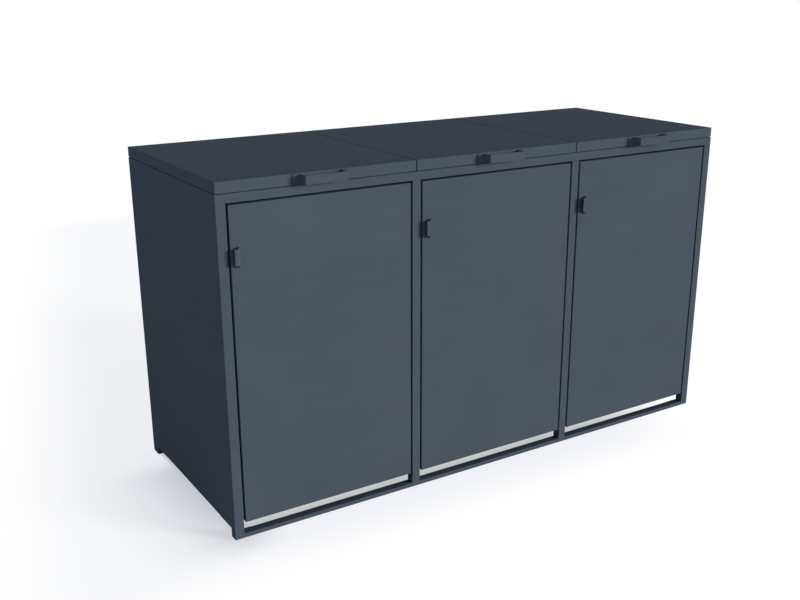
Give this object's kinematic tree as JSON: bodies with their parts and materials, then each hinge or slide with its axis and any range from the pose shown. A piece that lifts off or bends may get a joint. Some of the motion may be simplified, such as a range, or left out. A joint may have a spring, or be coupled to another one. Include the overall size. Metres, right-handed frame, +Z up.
{
  "type": "wheelie bin store",
  "caption": "Low sheet-steel garden store for wheeled bins, with side-hung doors in front, separate lids hinged at the rear and a lifting handle on each lid.",
  "frame": {"origin": "middle of the footprint on the ground, hinges and lid handles included", "axes": "+X from the left end to the right end as seen from the front, +Y from the doors to the rear, +Z up"},
  "size_m": [2.07, 0.8404, 1.17],
  "materials": {
    "powder_coat": "matt fine-texture powder coat",
    "zinc_steel": "dull zinc plate",
    "strut_black": "satin black paint",
    "strut_rod": "polished",
    "catch_plastic": "matt",
    "buffer_rubber": "matt"
  },
  "bodies": {
    "frame": {"front_left_post": "powder_coat", "front_mid_post_1": "powder_coat", "front_mid_post_2": "powder_coat", "front_right_post": "powder_coat", "front_top_rail": "powder_coat", "left_top_rail": "powder_coat", "mid_1_top_rail": "powder_coat", "mid_2_top_rail": "powder_coat", "right_top_rail": "powder_coat", "front_sill": "powder_coat", "ground_anchors": "zinc_steel", "left_side_panel": "powder_coat", "right_side_panel": "powder_coat", "rear_panel_rivets": "powder_coat", "rear_left_post": "powder_coat", "rear_mid_post_1": "powder_coat", "rear_mid_post_2": "powder_coat", "rear_right_post": "powder_coat", "rear_top_rail": "powder_coat", "rear_panel_1": "powder_coat", "rear_panel_2": "powder_coat", "rear_panel_3": "powder_coat", "door_hinge_brackets": "zinc_steel", "door_magnets": "catch_plastic", "frame_hinge_leaves": "zinc_steel", "hinge_pins": "zinc_steel", "lid_buffers": "buffer_rubber", "strut_foot_plates": "zinc_steel"},
    "door_1": {"door_panel_1": "powder_coat", "door_stiffener_1": "powder_coat", "door_pull_1": "powder_coat", "door_hinge_leaves_1": "zinc_steel"},
    "lid_1": {"lid_panel_1": "powder_coat", "lid_ribs_1": "powder_coat", "lid_handle_1": "powder_coat", "lid_hinge_leaves_1": "zinc_steel"},
    "strut_barrel_1": {"strut_tube_1": "strut_black"},
    "strut_piston_1": {"strut_rod_1": "strut_rod"},
    "door_2": {"door_panel_2": "powder_coat", "door_stiffener_2": "powder_coat", "door_pull_2": "powder_coat", "door_hinge_leaves_2": "zinc_steel"},
    "lid_2": {"lid_panel_2": "powder_coat", "lid_ribs_2": "powder_coat", "lid_handle_2": "powder_coat", "lid_hinge_leaves_2": "zinc_steel"},
    "strut_barrel_2": {"strut_tube_2": "strut_black"},
    "strut_piston_2": {"strut_rod_2": "strut_rod"},
    "door_3": {"door_panel_3": "powder_coat", "door_stiffener_3": "powder_coat", "door_pull_3": "powder_coat", "door_hinge_leaves_3": "zinc_steel"},
    "lid_3": {"lid_panel_3": "powder_coat", "lid_ribs_3": "powder_coat", "lid_handle_3": "powder_coat", "lid_hinge_leaves_3": "zinc_steel"},
    "strut_barrel_3": {"strut_tube_3": "strut_black"},
    "strut_piston_3": {"strut_rod_3": "strut_rod"}
  },
  "joints": [
    {"name": "door_hinge_1", "type": "hinge", "parent": "frame", "child": "door_1", "pos_m": [-0.37617, -0.36825, 0.576], "axis": [0, 0, 1], "range_deg": [0, 110]},
    {"name": "door_hinge_2", "type": "hinge", "parent": "frame", "child": "door_2", "pos_m": [0.30317, -0.36825, 0.576], "axis": [0, 0, 1], "range_deg": [0, 110]},
    {"name": "door_hinge_3", "type": "hinge", "parent": "frame", "child": "door_3", "pos_m": [0.9825, -0.36825, 0.576], "axis": [0, 0, 1], "range_deg": [0, 110]},
    {"name": "lid_hinge_1", "type": "hinge", "parent": "frame", "child": "lid_1", "pos_m": [-0.68796, 0.41525, 1.13325], "axis": [-1, 0, 0], "range_deg": [0, 85]},
    {"name": "lid_hinge_2", "type": "hinge", "parent": "frame", "child": "lid_2", "pos_m": [0, 0.41525, 1.13325], "axis": [-1, 0, 0], "range_deg": [0, 85]},
    {"name": "lid_hinge_3", "type": "hinge", "parent": "frame", "child": "lid_3", "pos_m": [0.68796, 0.41525, 1.13325], "axis": [-1, 0, 0], "range_deg": [0, 85]},
    {"name": "strut_swing_1", "type": "hinge", "parent": "frame", "child": "strut_barrel_1", "pos_m": [-0.988, 0.33525, 1.07325], "axis": [-1, 0, 0], "range_deg": [0, 83]},
    {"name": "strut_slide_1", "type": "slide", "parent": "strut_barrel_1", "child": "strut_piston_1", "axis": [0, -0.9557, 0.2944], "range_m": [0, 0.135]},
    {"name": "strut_swing_2", "type": "hinge", "parent": "frame", "child": "strut_barrel_2", "pos_m": [-0.30867, 0.33525, 1.07325], "axis": [-1, 0, 0], "range_deg": [0, 83]},
    {"name": "strut_slide_2", "type": "slide", "parent": "strut_barrel_2", "child": "strut_piston_2", "axis": [0, -0.9557, 0.2944], "range_m": [0, 0.135]},
    {"name": "strut_swing_3", "type": "hinge", "parent": "frame", "child": "strut_barrel_3", "pos_m": [0.37067, 0.33525, 1.07325], "axis": [-1, 0, 0], "range_deg": [0, 83]},
    {"name": "strut_slide_3", "type": "slide", "parent": "strut_barrel_3", "child": "strut_piston_3", "axis": [0, -0.9557, 0.2944], "range_m": [0, 0.135]}
  ],
  "couplings": [
    {"joint": "strut_swing_1", "follows": "lid_hinge_1", "ratio": 0.97401},
    {"joint": "strut_slide_1", "follows": "lid_hinge_1", "m_per_rad": 0.090694},
    {"joint": "strut_swing_2", "follows": "lid_hinge_2", "ratio": 0.97401},
    {"joint": "strut_slide_2", "follows": "lid_hinge_2", "m_per_rad": 0.090694},
    {"joint": "strut_swing_3", "follows": "lid_hinge_3", "ratio": 0.97401},
    {"joint": "strut_slide_3", "follows": "lid_hinge_3", "m_per_rad": 0.090694}
  ]
}
